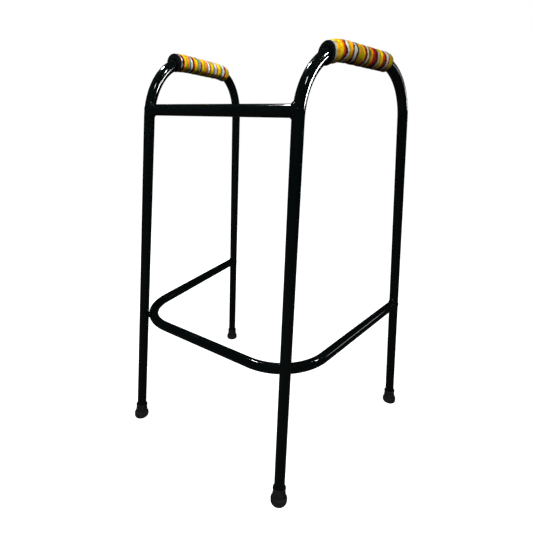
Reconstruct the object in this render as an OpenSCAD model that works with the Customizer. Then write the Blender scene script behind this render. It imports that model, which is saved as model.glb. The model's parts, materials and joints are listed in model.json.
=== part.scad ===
// Rigid walking frame: two bent side tubes, an upper cross bar, a U-shaped lower brace,
// four rubber feet and two foam grips in striped cloth covers.
// Millimetres, +Z up, origin on the floor at the centre of the frame. The user stands at +Y
// and faces -Y, so the user's left side is +X.

/* [Tube] */
// Outside diameter of every tube
tube_d = 22.2; // [18:0.1:28]
// Wall thickness of every tube
tube_wall = 1.2; // [0.8:0.1:3]

/* [Side frames] */
// Height of the handle's centreline above the floor
handle_height = 865; // [700:5:1050]
// Distance between the two legs of one side frame at the floor
side_length = 471; // [390:1:570]
// Distance between the two front legs at the floor
front_width = 439; // [360:1:540]
// Angle by which each side frame opens outwards towards the rear
toe_out = 9.1; // [4:0.1:11]
// Angle by which each side frame leans inwards towards the top
side_lean = 3.5; // [0:0.1:5]
// Angle of each leg from upright within its side frame
leg_splay = 4.1; // [2:0.1:5]
// Centreline radius of the bend above the front leg
front_bend_r = 126; // [90:1:152]
// Centreline radius of the bend above the rear leg
rear_bend_r = 108; // [80:1:140]

/* [Cross bar and brace] */
// Height of the handle above the cross bar, centre to centre
bar_drop = 102; // [80:1:160]
// Height of the brace where it passes the front legs
brace_front_height = 290; // [200:1:400]
// Height of the brace where it meets the rear legs
brace_rear_height = 308; // [200:1:420]
// Centreline radius of the brace's two corners
brace_bend_r = 115; // [90:1:140]
// How far the brace's front run stands in front of the front legs' centres
brace_forward = 5; // [0:1:15]

/* [Welds] */
// Size of the weld beads at the butted tube ends
weld_size = 2.2; // [1:0.1:4]
// Size of the weld beads where the brace passes the front legs
corner_weld_size = 2.8; // [1.5:0.1:4]
// Gap between the brace and each front leg, filled by the weld
weld_gap = 0.4; // [0.2:0.1:0.8]

/* [Rubber feet] */
// Height of a foot along its leg
foot_height = 38; // [32:1:60]
// Wall thickness of the foot's sleeve
foot_wall = 2.3; // [1.5:0.1:4]
// How far the rim at the top stands proud of the sleeve
foot_rim = 0.6; // [0.2:0.1:2]
// Height of that rim
foot_rim_height = 4; // [2:0.5:7]
// How far the base flares out from the sleeve
foot_flare = 3.7; // [2:0.1:8]
// Height of the foot's wide base
foot_base_height = 14; // [10:1:18]
// Radius of the base's lower edge
foot_edge_r = 5; // [2:0.5:7]
// Rubber between the floor and the washer
foot_sole = 8; // [6:0.5:12]
// Depth of the tread rings in the sole
tread_depth = 1.5; // [0.5:0.1:3]

/* [Foot washers] */
// Thickness of the steel washer under the tube
washer_t = 1.6; // [1:0.1:3]
// Diameter of the washer's hole
washer_hole_d = 8; // [4:0.5:12]

/* [Grips] */
// Thickness of the foam under the cover
foam_t = 5.2; // [3:0.1:10]
// How far the bare foam rim at the front end stands proud of the rest
foam_rim = 2; // [0.5:0.1:5]
// Length of that bare rim
foam_rim_length = 3; // [1:0.5:10]
// How far the grip runs on to the front bend, along the tube
grip_on_front_bend = 49; // [20:1:80]
// How far the grip runs on to the rear bend, along the tube
grip_on_rear_bend = 24; // [15:1:60]
// How far the left grip sits forward of that place, and the right grip behind it
grip_stagger = 7; // [0:1:8]
// Thickness of the cloth cover
cover_t = 1.0; // [0.6:0.1:2]

/* [Fit] */
// Radial gap between a tube and what slides over it
slip_gap = 0.2; // [0.05:0.05:0.5]
// Gap between a tube's saddle end and the leg that it butts on
saddle_gap = 0.15; // [0.1:0.05:0.5]

/* [Hidden] */
// Facets of a round, and of a bend's ring, in a preview
$fn = 64;
bend_facets = 240;
tube_r = tube_d / 2;
bore_r = tube_r - tube_wall;
side_depth = side_length * cos(toe_out);
socket_r = tube_r + slip_gap;
foot_sleeve_r = socket_r + foot_wall;
foot_r = foot_sleeve_r + foot_flare;
foam_r = socket_r + foam_t;
cover_bore_r = foam_r + slip_gap;

// Side frame, drawn flat: X runs from the front foot to the rear foot and Y up the slope.
handle_v = handle_height / cos(side_lean);
bend_turn = 90 - leg_splay;
front_tangent = front_bend_r * tan(bend_turn / 2);
rear_tangent = rear_bend_r * tan(bend_turn / 2);
corner_inset = handle_v * tan(leg_splay);
front_centre = [corner_inset + front_tangent, handle_v - front_bend_r];
handle_length = side_length - 2 * corner_inset - front_tangent - rear_tangent;
leg_length = handle_v / cos(leg_splay);
tube_foot = foot_sole + washer_t;

// Centreline of the front leg at height v up the slope, on the straight or on the bend
function front_u(v) =
    v < front_centre[1] + front_bend_r * sin(leg_splay)
        ? v * tan(leg_splay)
        : front_centre[0] - sqrt(front_bend_r ^ 2 - (v - front_centre[1]) ^ 2);
function rear_u(v) = side_length - v * tan(leg_splay);

// Place in the whole frame of the point (u, v) of the left side frame
function side_point(u, v) = [
    front_width / 2 - v * sin(side_lean) * cos(toe_out) + u * sin(toe_out),
    -side_depth / 2 + v * sin(side_lean) * sin(toe_out) + u * cos(toe_out),
    v * cos(side_lean)
];
function front_leg_at(z) = side_point(front_u(z / cos(side_lean)), z / cos(side_lean));
function rear_leg_at(z) = side_point(rear_u(z / cos(side_lean)), z / cos(side_lean));

// Cross bar
bar_end = front_leg_at(handle_height - bar_drop);

// Brace, drawn flat in its own slightly sloping plane: X across and Y towards the user.
brace_pass = front_leg_at(brace_front_height);
brace_weld = rear_leg_at(brace_rear_height);
brace_y = brace_pass[1] - brace_forward;
brace_slope = atan2(brace_rear_height - brace_front_height, brace_weld[1] - brace_y);
brace_depth = (brace_weld[1] - brace_y) / cos(brace_slope);
leg_in_brace = [brace_pass[0], brace_forward / cos(brace_slope)];

// The leg leans, so it comes nearer to the corner than a square crossing would.
leg_axis = front_leg_at(brace_front_height + 1) - brace_pass;
leg_lean = [leg_axis[0], leg_axis[1] * cos(brace_slope) + leg_axis[2] * sin(brace_slope)];
plain_reach = brace_bend_r + tube_d + weld_gap;
radial = [sqrt(plain_reach ^ 2 - (brace_bend_r - leg_in_brace[1]) ^ 2),
          leg_in_brace[1] - brace_bend_r] / plain_reach;
lean_loss = sqrt(1 - (leg_lean * radial / norm(leg_axis)) ^ 2);
reach = brace_bend_r + (tube_d + weld_gap) / lean_loss;
brace_run = leg_in_brace[0] - sqrt(reach ^ 2 - (brace_bend_r - leg_in_brace[1]) ^ 2);

// The side run leaves the corner along the tangent that reaches the rear leg.
to_rear = [brace_weld[0] - brace_run, brace_depth - brace_bend_r];
brace_turn = 90 + atan2(to_rear[1], to_rear[0]) - acos(brace_bend_r / norm(to_rear));
brace_side_run = sqrt(norm(to_rear) ^ 2 - brace_bend_r ^ 2);

// A round rod along +Y, or along -Y for a negative length
module rod(length, r) {
    rotate([length > 0 ? -90 : 90, 0, 0]) cylinder(r = r, h = abs(length));
}

// A bend round the origin in the XY plane, cut from a ring between two angles
module bend(bend_r, start, turn, r) {
    size = 3 * (bend_r + r);
    intersection() {
        rotate_extrude($fn = bend_facets) translate([bend_r, 0]) circle(r = r);
        rotate(start) translate([-size / 2, 0, -size / 2]) cube(size);
        rotate(start + turn) translate([-size / 2, -size, -size / 2]) cube(size);
    }
}

// Stands a flat drawing up as the left side frame
module left_side() {
    translate([front_width / 2, -side_depth / 2, 0])
        rotate([0, 0, -toe_out])
            rotate([0, -side_lean, 0])
                rotate([90, 0, 90]) children();
}

// The flat drawing's frame at the centre of each upper bend
module front_bend_centre() {
    left_side() translate([front_centre[0], front_centre[1], 0]) children();
}
module rear_bend_centre() {
    front_bend_centre()
        translate([handle_length, front_bend_r - rear_bend_r, 0]) children();
}

// Lays a flat drawing in the brace's plane
module brace_plane() {
    translate([0, brace_y, brace_front_height])
        rotate([brace_slope, 0, 0]) children();
}

// The same piece on the right side
module right() { mirror([1, 0, 0]) children(); }

// The side tube's route in solid rods of the given radius, from its foot end on
module front_leg(r, start) {
    front_bend_centre() rotate(90 + bend_turn)
        translate([front_bend_r, 0, 0]) rod(leg_length - front_tangent - start, r);
}
module rear_leg(r, start) {
    rear_bend_centre() rotate(leg_splay)
        translate([rear_bend_r, 0, 0]) rod(start + rear_tangent - leg_length, r);
}
module handle_route(r, front_turn, rear_turn) {
    front_bend_centre() {
        bend(front_bend_r, 90, front_turn, r);
        translate([0, front_bend_r, 0]) rotate(-90) rod(handle_length, r);
    }
    rear_bend_centre() bend(rear_bend_r, 90 - rear_turn, rear_turn, r);
}
module side_route(r, start) {
    front_leg(r, start);
    handle_route(r, bend_turn, bend_turn);
    rear_leg(r, start);
}

// The stretch of side tube that the cross bar butts on
module bar_seat(r) {
    front_leg(r, tube_foot);
    front_bend_centre() bend(front_bend_r, 90, bend_turn, r);
}

module side_tube() {
    bore_overrun = 2;
    difference() {
        side_route(tube_r, tube_foot);
        side_route(bore_r, tube_foot - bore_overrun);
    }
}

// Half of the cross bar's axis, from the middle out to the left front leg
module half_bar(r, from) {
    translate([from, bar_end[1], bar_end[2]]) rotate(-90) rod(bar_end[0] - from, r);
}

module upper_cross_bar() {
    color("#141516") difference() {
        union() {
            half_bar(tube_r, 0);
            right() half_bar(tube_r, 0);
        }
        half_bar(bore_r, -1);
        right() half_bar(bore_r, -1);
        bar_seat(tube_r + saddle_gap);
        right() bar_seat(tube_r + saddle_gap);
    }
}

// The brace's left half in solid rods of the given radius
module half_brace(r) {
    brace_plane() {
        rotate(-90) rod(brace_run, r);
        translate([brace_run, brace_bend_r, 0]) bend(brace_bend_r, -90, brace_turn, r);
    }
    brace_side(r);
}

module brace_side(r) {
    brace_plane() translate([brace_run, brace_bend_r, 0]) rotate(brace_turn - 90)
        translate([brace_bend_r, 0, 0]) rod(brace_side_run, r);
}

module lower_brace() {
    color("#141516") difference() {
        union() {
            half_brace(tube_r);
            right() half_brace(tube_r);
        }
        half_brace(bore_r);
        right() half_brace(bore_r);
        rear_leg(tube_r + saddle_gap, tube_foot);
        right() rear_leg(tube_r + saddle_gap, tube_foot);
    }
}

// Bead round a butted tube: a short sleeve on it, rounded off by a ball on the leg's axis
module bead_ball(centre) {
    translate(centre) sphere(r = norm([tube_r, tube_r + weld_size]));
}

// Bead where the cross bar butts on the front leg
module upper_weld() {
    from = bar_end[0] - 2 * tube_d;
    color("#1a1b1c") difference() {
        intersection() {
            difference() {
                half_bar(tube_r + weld_size, from);
                bar_seat(tube_r + saddle_gap);
            }
            bead_ball(bar_end);
        }
        half_bar(tube_r, from - 1);
    }
}

// Bead where the brace butts on the rear leg
module lower_rear_weld() {
    color("#1a1b1c") difference() {
        intersection() {
            difference() {
                brace_side(tube_r + weld_size);
                rear_leg(tube_r + saddle_gap, tube_foot);
            }
            bead_ball(brace_weld);
        }
        brace_side(tube_r);
    }
}

// Bead where the brace's corner passes the inner side of the front leg
module lower_front_weld() {
    color("#1a1b1c") difference() {
        intersection() {
            brace_corner(tube_r + corner_weld_size);
            front_leg(tube_r + corner_weld_size, tube_foot);
        }
        brace_corner(tube_r);
        front_leg(tube_r, tube_foot);
    }
}

module brace_corner(r) {
    brace_plane() translate([brace_run, brace_bend_r, 0])
        bend(brace_bend_r, -90, brace_turn, r);
}

// Turns a piece drawn up the Z axis from the floor on to the front or the rear leg
module on_front_leg() { left_side() rotate([-90, 0, -leg_splay]) children(); }
module on_rear_leg() {
    left_side() translate([side_length, 0, 0]) rotate([-90, 0, leg_splay]) children();
}

// Half outline of a foot: rounded base, shoulder, sleeve and rim, down past the floor
module foot_outline() {
    shoulder_steepness = 1.6;
    shoulder_top = foot_base_height + shoulder_steepness * foot_flare;
    rim_base = foot_height - foot_rim_height;
    below_floor = 4;
    translate([0, -below_floor]) square([foot_r - foot_edge_r, below_floor + foot_edge_r]);
    translate([foot_r - foot_edge_r, foot_edge_r]) circle(r = foot_edge_r);
    translate([0, foot_edge_r]) square([foot_r, foot_base_height - foot_edge_r]);
    polygon([[0, foot_base_height], [foot_r, foot_base_height],
             [foot_sleeve_r, shoulder_top], [0, shoulder_top]]);
    translate([0, foot_base_height])
        square([foot_sleeve_r, foot_height - foot_base_height]);
    translate([0, rim_base]) square([foot_sleeve_r + foot_rim, foot_rim_height]);
}

// The socket that takes the washer and the tube
module foot_socket() {
    over = 1;
    translate([0, 0, foot_sole])
        cylinder(r = socket_r, h = foot_height - foot_sole + over);
}

// Everything below the floor, so that the sole stands flat
module below_floor() {
    size = 8 * foot_r;
    translate([0, 0, -size / 2]) cube(size, center = true);
}

// Ring grooves in the sole, upright over the middle of the foot
module tread(foot) {
    ring_shares = [0.32, 0.6];
    for (r = ring_shares * foot_r)
        translate([foot[0], foot[1], 0]) difference() {
            cylinder(r = r + tread_depth / 2, h = 2 * tread_depth, center = true);
            cylinder(r = r - tread_depth / 2, h = 3 * tread_depth, center = true);
        }
}

module foot_solid() {
    difference() {
        rotate_extrude() foot_outline();
        foot_socket();
    }
}

module front_foot() {
    foot = front_leg_at(0);
    color("#0c0c0c") difference() {
        on_front_leg() foot_solid();
        translate([foot[0], foot[1], 0]) below_floor();
        tread(foot);
    }
}

module rear_foot() {
    foot = rear_leg_at(0);
    color("#0c0c0c") difference() {
        on_rear_leg() foot_solid();
        translate([foot[0], foot[1], 0]) below_floor();
        tread(foot);
    }
}

module washer() {
    color("#9a9c9e") translate([0, 0, foot_sole]) difference() {
        cylinder(r = tube_r, h = washer_t);
        translate([0, 0, -washer_t]) cylinder(d = washer_hole_d, h = 3 * washer_t);
    }
}

// Angle that a length of tube takes up on a bend
function turn_of(length, bend_r) = length / bend_r * 180 / PI;

// Foam sleeve on the handle, with a bare rim at its front end
module foam_grip(forward) {
    over = 1;
    rear_turn = turn_of(grip_on_rear_bend - forward, rear_bend_r);
    covered = grip_on_front_bend + forward - foam_rim_length;
    covered_turn = turn_of(covered, front_bend_r);
    rim_turn = turn_of(foam_rim_length, front_bend_r);
    color("#101010") difference() {
        union() {
            handle_route(foam_r, covered_turn, rear_turn);
            front_bend_centre()
                bend(front_bend_r, 90 + covered_turn, rim_turn, foam_r + foam_rim);
        }
        handle_route(socket_r,
                     covered_turn + rim_turn + turn_of(over, front_bend_r),
                     rear_turn + turn_of(over, rear_bend_r));
    }
}

// Cloth sleeve over the foam, turned in over the foam's rear end
module grip_cover(forward) {
    over = 1;
    covered = grip_on_front_bend + forward - foam_rim_length - slip_gap;
    foam_end = grip_on_rear_bend - forward + slip_gap;
    cover_end = foam_end + cover_t;
    color("#d9a21b") difference() {
        handle_route(cover_bore_r + cover_t, turn_of(covered, front_bend_r),
                     turn_of(cover_end, rear_bend_r));
        handle_route(cover_bore_r, turn_of(covered + over, front_bend_r),
                     turn_of(foam_end, rear_bend_r));
        rear_bend_centre()
            bend(rear_bend_r, 90 - turn_of(cover_end + over, rear_bend_r),
                 turn_of(2 * cover_t + over, rear_bend_r), socket_r);
    }
}

module right_side_tube() { color("#141516") right() side_tube(); }
module left_side_tube() { color("#141516") side_tube(); }
module upper_right_weld() { right() upper_weld(); }
module upper_left_weld() { upper_weld(); }
module lower_front_right_weld() { right() lower_front_weld(); }
module lower_front_left_weld() { lower_front_weld(); }
module lower_rear_right_weld() { right() lower_rear_weld(); }
module lower_rear_left_weld() { lower_rear_weld(); }
module front_right_foot() { right() front_foot(); }
module front_left_foot() { front_foot(); }
module rear_right_foot() { right() rear_foot(); }
module rear_left_foot() { rear_foot(); }
module front_right_washer() { right() on_front_leg() washer(); }
module front_left_washer() { on_front_leg() washer(); }
module rear_right_washer() { right() on_rear_leg() washer(); }
module rear_left_washer() { on_rear_leg() washer(); }
module right_foam_grip() { right() foam_grip(-grip_stagger); }
module left_foam_grip() { foam_grip(grip_stagger); }
module right_grip_cover() { right() grip_cover(-grip_stagger); }
module left_grip_cover() { grip_cover(grip_stagger); }

right_side_tube();
left_side_tube();
upper_cross_bar();
lower_brace();
upper_right_weld();
upper_left_weld();
lower_front_right_weld();
lower_front_left_weld();
lower_rear_right_weld();
lower_rear_left_weld();
front_right_foot();
front_left_foot();
rear_right_foot();
rear_left_foot();
front_right_washer();
front_left_washer();
rear_right_washer();
rear_left_washer();
right_foam_grip();
left_foam_grip();
right_grip_cover();
left_grip_cover();
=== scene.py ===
"""Looks of a rigid walking frame: painted tube, weld beads, rubber feet and cloth-covered grips."""

import json
import math

import bmesh
import bpy
import numpy as np
from mathutils import Matrix, Vector


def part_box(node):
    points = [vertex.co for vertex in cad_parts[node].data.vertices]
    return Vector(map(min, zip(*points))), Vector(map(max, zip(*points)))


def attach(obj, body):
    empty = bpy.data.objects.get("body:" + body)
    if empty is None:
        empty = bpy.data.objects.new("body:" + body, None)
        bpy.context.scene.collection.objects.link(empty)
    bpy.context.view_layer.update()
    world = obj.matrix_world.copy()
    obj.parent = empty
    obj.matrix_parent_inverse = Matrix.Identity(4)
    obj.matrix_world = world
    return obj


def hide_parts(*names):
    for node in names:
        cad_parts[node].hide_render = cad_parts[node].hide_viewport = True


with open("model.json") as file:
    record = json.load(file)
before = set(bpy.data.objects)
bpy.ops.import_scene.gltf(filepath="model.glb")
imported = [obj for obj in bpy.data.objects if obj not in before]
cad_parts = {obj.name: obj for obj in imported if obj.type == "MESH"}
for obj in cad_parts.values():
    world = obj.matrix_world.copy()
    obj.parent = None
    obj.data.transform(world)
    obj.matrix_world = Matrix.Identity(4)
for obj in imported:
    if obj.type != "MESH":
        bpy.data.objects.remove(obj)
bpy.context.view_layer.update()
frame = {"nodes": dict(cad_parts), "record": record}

bl_info = {
    "name": "Walking Frame Looks",
    "version": (1, 0, 0),
    "blender": (4, 5, 0),
    "location": "3D View > Sidebar > Walking Frame",
    "description": "Paints, welds, feet, grips and stage for a bent-tube walking frame",
    "category": "Object",
}

MM = 0.001
TURN = 2 * math.pi
SIDES = {"left": 1, "right": -1}

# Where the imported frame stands, in metres
soles = {m["name"]: m["pos_m"] for m in frame["record"]["mounts"]}
front_sole = np.array(soles["front_left_sole"])
rear_sole = np.array(soles["rear_left_sole"])
bar_low, bar_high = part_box("upper_cross_bar")
brace_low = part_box("lower_brace")[0]
TUBE_D = bar_high.z - bar_low.z
HANDLE_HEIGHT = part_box("left_side_tube")[1].z - TUBE_D / 2
FRONT_WIDTH = 2 * front_sole[0]
SIDE_LENGTH = float(np.linalg.norm(rear_sole - front_sole))
TOE_OUT = math.atan2(rear_sole[0] - front_sole[0], rear_sole[1] - front_sole[1])


def length_value(name, description, default):
    return bpy.props.FloatProperty(
        name=name, description=description, default=default, unit="LENGTH", precision=4
    )


def angle_value(name, description, degrees):
    return bpy.props.FloatProperty(
        name=name, description=description, default=math.radians(degrees), subtype="ANGLE"
    )


def colour_value(name, description, red, green, blue):
    """A colour given by its screen values from 0 to 255, kept as linear light."""
    return bpy.props.FloatVectorProperty(
        name=name, description=description, default=linear(red, green, blue),
        subtype="COLOR", size=3, min=0, max=1,
    )


def linear(*screen):
    """Screen values from 0 to 255 as linear light: the standard curve with its straight toe."""
    shares = [value / 255 for value in screen]
    return tuple(s / 12.92 if s <= 0.04045 else ((s + 0.055) / 1.055) ** 2.4 for s in shares)


# Sizes and colours that a user would change

class FrameSizes(bpy.types.PropertyGroup):
    """Sizes of the bent tubes."""

    tube_d: length_value("Tube diameter", "Outside diameter of every tube", TUBE_D)
    handle_height: length_value("Handle height", "Height of the handle's centre", HANDLE_HEIGHT)
    front_width: length_value("Front width", "Distance between the front feet", FRONT_WIDTH)
    side_length: length_value("Side length", "Distance between one side's feet", SIDE_LENGTH)
    toe_out: bpy.props.FloatProperty(
        name="Toe out", description="Angle by which each side opens towards the rear",
        default=TOE_OUT, subtype="ANGLE",
    )
    side_lean: angle_value("Side lean", "Angle by which each side leans inwards", 3.5)
    leg_splay: angle_value("Leg splay", "Angle of each leg within its side", 4.1)
    front_bend_r: length_value("Front bend", "Radius of the bend above the front leg", 126 * MM)
    rear_bend_r: length_value("Rear bend", "Radius of the bend above the rear leg", 108 * MM)
    brace_bend_r: length_value("Brace bend", "Radius of the brace's corners", 115 * MM)
    brace_rear_height: length_value("Brace rear height", "Height at the rear legs", 308 * MM)
    weld_gap: length_value("Weld gap", "Gap between brace and front leg", 0.4 * MM)


class WeldSizes(bpy.types.PropertyGroup):
    """Sizes of the weld beads."""

    half_width: length_value("Half width", "Half the width of a bead along the tubes", 5.0 * MM)
    height: length_value("Height", "How far a bead stands up from the seam", 2.9 * MM)
    ripple: length_value("Ripple", "Depth of the ripples", 0.16 * MM)
    ripple_pitch: length_value("Ripple pitch", "Distance from one ripple to the next", 2.1 * MM)
    pad_depth: length_value("Pad depth", "Gap that a corner weld fills at its rim", 3.0 * MM)


class FootSizes(bpy.types.PropertyGroup):
    """Sizes of a rubber foot, measured up its leg."""

    height: length_value("Height", "Height of a foot along its leg", 38 * MM)
    sleeve_r: length_value("Sleeve radius", "Outside radius of the sleeve's top", 13.2 * MM)
    sleeve_flare: length_value("Sleeve flare", "How much wider the sleeve's foot is", 0.9 * MM)
    rim_r: length_value("Rim radius", "Outside radius of the top rim", 14 * MM)
    rim_height: length_value("Rim height", "Height of the top rim", 3.2 * MM)
    base_r: length_value("Base radius", "Outside radius of the base", 17.3 * MM)
    shoulder_top: length_value("Shoulder top", "Height at which the base begins", 18 * MM)
    shoulder_foot: length_value("Shoulder foot", "Height of the shoulder's edge", 12.5 * MM)
    edge_r: length_value("Edge radius", "Radius of the lower edge", 5 * MM)
    sole: length_value("Sole", "Rubber between the floor and the washer", 8 * MM)
    tread_depth: length_value("Tread depth", "Depth of the rings in the sole", 1.5 * MM)
    tread_width: length_value("Tread width", "Width of the rings in the sole", 1.5 * MM)
    rib_height: length_value("Rib height", "Height of the moulded ribs", 0.35 * MM)
    ribs: bpy.props.IntProperty(name="Ribs", description="Moulded ribs round a foot", default=28)


class GripSizes(bpy.types.PropertyGroup):
    """Sizes of the foam grips and their cloth covers."""

    left_reach: length_value("Left reach", "How far the left grip runs on to its bend", 54.5 * MM)
    right_reach: length_value("Right reach", "How far the right grip runs on to it", 44.4 * MM)
    left_bare: length_value("Left bare rim", "Foam left bare in front of the cloth", 2 * MM)
    right_bare: length_value("Right bare rim", "Foam left bare in front of the cloth", 5 * MM)
    left_lift: length_value("Left lift", "How far the stiff foam rides up in front", 2.5 * MM)
    right_lift: length_value("Right lift", "How far the stiff foam rides up in front", 5 * MM)
    on_rear_bend: length_value("On rear bend", "How far a grip runs on to it", 24 * MM)
    stagger: length_value("Stagger", "How far the left grip sits forward", 7 * MM)
    bore_r: length_value("Bore", "Radius of the foam's bore", 11.3 * MM)
    foam_r: length_value("Foam radius", "Radius of the foam under the cloth", 16.5 * MM)
    rim_r: length_value("Rim radius", "Radius of the bare rim at the front", 18.4 * MM)
    slip_gap: length_value("Slip gap", "Gap between cloth and foam", 0.2 * MM)
    cloth_t: length_value("Cloth", "Thickness of the cloth", 1 * MM)
    front_swell: length_value("Front swell", "How much fatter the front end is", 0.7 * MM)
    pucker: length_value("Pucker", "Height of the cloth's small folds", 0.3 * MM)
    pleat: length_value("Pleat", "Depth of the pleats at the rear end", 0.6 * MM)
    pleats: bpy.props.IntProperty(name="Pleats", description="Pleats round the end", default=19)


class ClothColours(bpy.types.PropertyGroup):
    """Colours of the stripes."""

    white: colour_value("White", "White stripes", 226, 222, 220)
    cream: colour_value("Cream", "Cream stripes", 204, 196, 180)
    mist: colour_value("Mist", "Grey-green stripes", 158, 166, 150)
    lilac: colour_value("Lilac", "Pale lilac stripes", 208, 192, 202)
    maroon: colour_value("Maroon", "Dark red stripes", 74, 6, 14)
    crimson: colour_value("Crimson", "Deep red stripes", 160, 14, 28)
    red: colour_value("Red", "Orange-red stripes", 200, 62, 18)
    orange: colour_value("Orange", "Orange stripes", 246, 146, 46)
    gold: colour_value("Gold", "Golden stripes", 247, 178, 2)
    yellow: colour_value("Yellow", "Yellow stripes", 248, 214, 8)
    olive: colour_value("Olive", "Olive stripes", 166, 154, 4)
    moss: colour_value("Moss", "Dark olive stripes", 96, 84, 6)
    teal: colour_value("Teal", "Grey-green stripes", 70, 116, 104)
    pine: colour_value("Pine", "Very dark green stripes", 12, 40, 38)


class FinishColours(bpy.types.PropertyGroup):
    """Colours of paint, rubber, foam and steel."""

    paint: colour_value("Paint", "Gloss black paint", 3, 5, 5)
    rubber: colour_value("Rubber", "Moulded rubber", 24, 24, 24)
    foam: colour_value("Foam", "Foam rubber", 8, 8, 9)
    steel: colour_value("Steel", "Zinc-plated steel", 196, 198, 200)
    dust: colour_value("Dust", "Dust on the feet", 120, 116, 108)
    floor: colour_value("Floor", "Pale floor", 236, 236, 236)


class StageSettings(bpy.types.PropertyGroup):
    """Camera and light."""

    camera_x: length_value("Camera X", "How far to the side the camera stands", 0.5390)
    camera_y: length_value("Camera Y", "How far in front, as a negative number", -0.7670)
    camera_z: length_value("Camera Z", "How high the camera stands", 0.7399)
    heading: angle_value("Heading", "How far the camera turns to its left", 34.555)
    tilt: angle_value("Tilt", "How far the camera looks down", 19.498)
    roll: angle_value("Roll", "How far the camera leans", -1.730)
    field: angle_value("Field of view", "Angle across the picture", 67.43)


GROUPS = {
    "walker_frame": FrameSizes,
    "walker_welds": WeldSizes,
    "walker_feet": FootSizes,
    "walker_grips": GripSizes,
    "walker_cloth": ClothColours,
    "walker_finish": FinishColours,
    "walker_stage": StageSettings,
}

# Stripes from front to rear, as colours and widths in millimetres
STRIPES = {
    "left": (
        ("mist", 5), ("gold", 9), ("yellow", 7), ("gold", 5), ("red", 4), ("maroon", 4),
        ("white", 5), ("olive", 4), ("gold", 8), ("orange", 2), ("maroon", 5), ("cream", 6),
        ("pine", 6), ("olive", 2), ("orange", 6), ("olive", 7), ("gold", 4), ("red", 4),
        ("maroon", 5), ("cream", 5), ("moss", 5), ("olive", 5), ("gold", 5), ("red", 4),
        ("crimson", 6), ("maroon", 6), ("cream", 7), ("olive", 5), ("yellow", 5), ("gold", 4),
        ("red", 5), ("maroon", 7), ("cream", 8), ("teal", 2), ("maroon", 2), ("orange", 3),
        ("olive", 8), ("moss", 5), ("pine", 6),
    ),
    "right": (
        ("lilac", 2), ("maroon", 5), ("red", 2), ("gold", 4), ("yellow", 3), ("olive", 4),
        ("orange", 8), ("teal", 6), ("white", 5), ("maroon", 5), ("red", 3), ("gold", 5),
        ("yellow", 4), ("olive", 5), ("teal", 4), ("lilac", 4), ("maroon", 4), ("gold", 4),
        ("yellow", 5), ("olive", 4), ("orange", 12), ("pine", 2), ("white", 6), ("maroon", 4),
        ("gold", 5), ("yellow", 5), ("olive", 5), ("teal", 3), ("lilac", 8), ("maroon", 4),
        ("orange", 3), ("yellow", 9), ("olive", 6), ("teal", 3), ("white", 8), ("maroon", 4),
        ("red", 3), ("orange", 3), ("gold", 7), ("olive", 12),
    ),
}


# Side frame: a flat drawing whose first axis runs to the rear foot and whose second runs up

def sizes(group):
    """The scene's values of one group, by the group's name."""
    return getattr(bpy.context.scene, group)


def side_axes():
    """The flat drawing's origin and its three directions: rearwards, up the slope, outwards."""
    s = sizes("walker_frame")
    depth = s.side_length * math.cos(s.toe_out)
    origin = np.array([s.front_width / 2, -depth / 2, 0])
    back = np.array([math.sin(s.toe_out), math.cos(s.toe_out), 0])
    up = np.array([
        -math.sin(s.side_lean) * math.cos(s.toe_out),
        math.sin(s.side_lean) * math.sin(s.toe_out),
        math.cos(s.side_lean),
    ])
    return origin, back, up, np.cross(back, up)


def handle_layout():
    """Height up the slope, centre of the front bend and length of the handle's straight."""
    s = sizes("walker_frame")
    top = s.handle_height / math.cos(s.side_lean)
    half_turn = (math.pi / 2 - s.leg_splay) / 2
    inset = top * math.tan(s.leg_splay)
    front = inset + s.front_bend_r * math.tan(half_turn)
    straight = s.side_length - front - inset - s.rear_bend_r * math.tan(half_turn)
    return top, (front, top - s.front_bend_r), straight


def side_to_space(flat):
    """Turns points of the flat drawing, with their height above it, into points in space."""
    origin, back, up, out = side_axes()
    return origin + flat[..., :1] * back + flat[..., 1:2] * up + flat[..., 2:] * out


def space_to_side(points):
    """The other way round: how far each point lies along each of the drawing's directions."""
    origin, back, up, out = side_axes()
    away = points - origin
    return np.stack([away @ back, away @ up, away @ out], axis=-1)


def front_leg_gap(points):
    """Distance to the front leg's centreline: to its bend above the tangent, else its straight."""
    s = sizes("walker_frame")
    centre = handle_layout()[1]
    flat = space_to_side(points)
    u, v, w = flat[..., 0], flat[..., 1], flat[..., 2]
    round_bend = np.hypot(np.hypot(u - centre[0], v - centre[1]) - s.front_bend_r, w)
    straight = np.hypot(u * math.cos(s.leg_splay) - v * math.sin(s.leg_splay), w)
    above = (u - centre[0]) * math.sin(s.leg_splay) + (v - centre[1]) * math.cos(s.leg_splay)
    return np.where(above > 0, round_bend, straight)


def leg_line(which):
    """A point and a direction of the left front or rear leg's straight."""
    s = sizes("walker_frame")
    rear = which == "rear"
    lean = -math.tan(s.leg_splay) if rear else math.tan(s.leg_splay)
    ends = np.array([[0, 0, 0], [lean, 1, 0]]) + [[s.side_length if rear else 0, 0, 0]]
    low, high = side_to_space(ends)
    return low, (high - low) / np.linalg.norm(high - low)


def line_gap(points, line):
    """Distance from each point to a straight line."""
    away = points - line[0]
    along = away @ line[1]
    return np.linalg.norm(away - along[..., None] * line[1], axis=-1)


def leg_point(which, height):
    """The point of a left leg's centreline at that height above the floor."""
    low, direction = leg_line(which)
    return low + direction * (height - low[2]) / direction[2]


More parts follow.
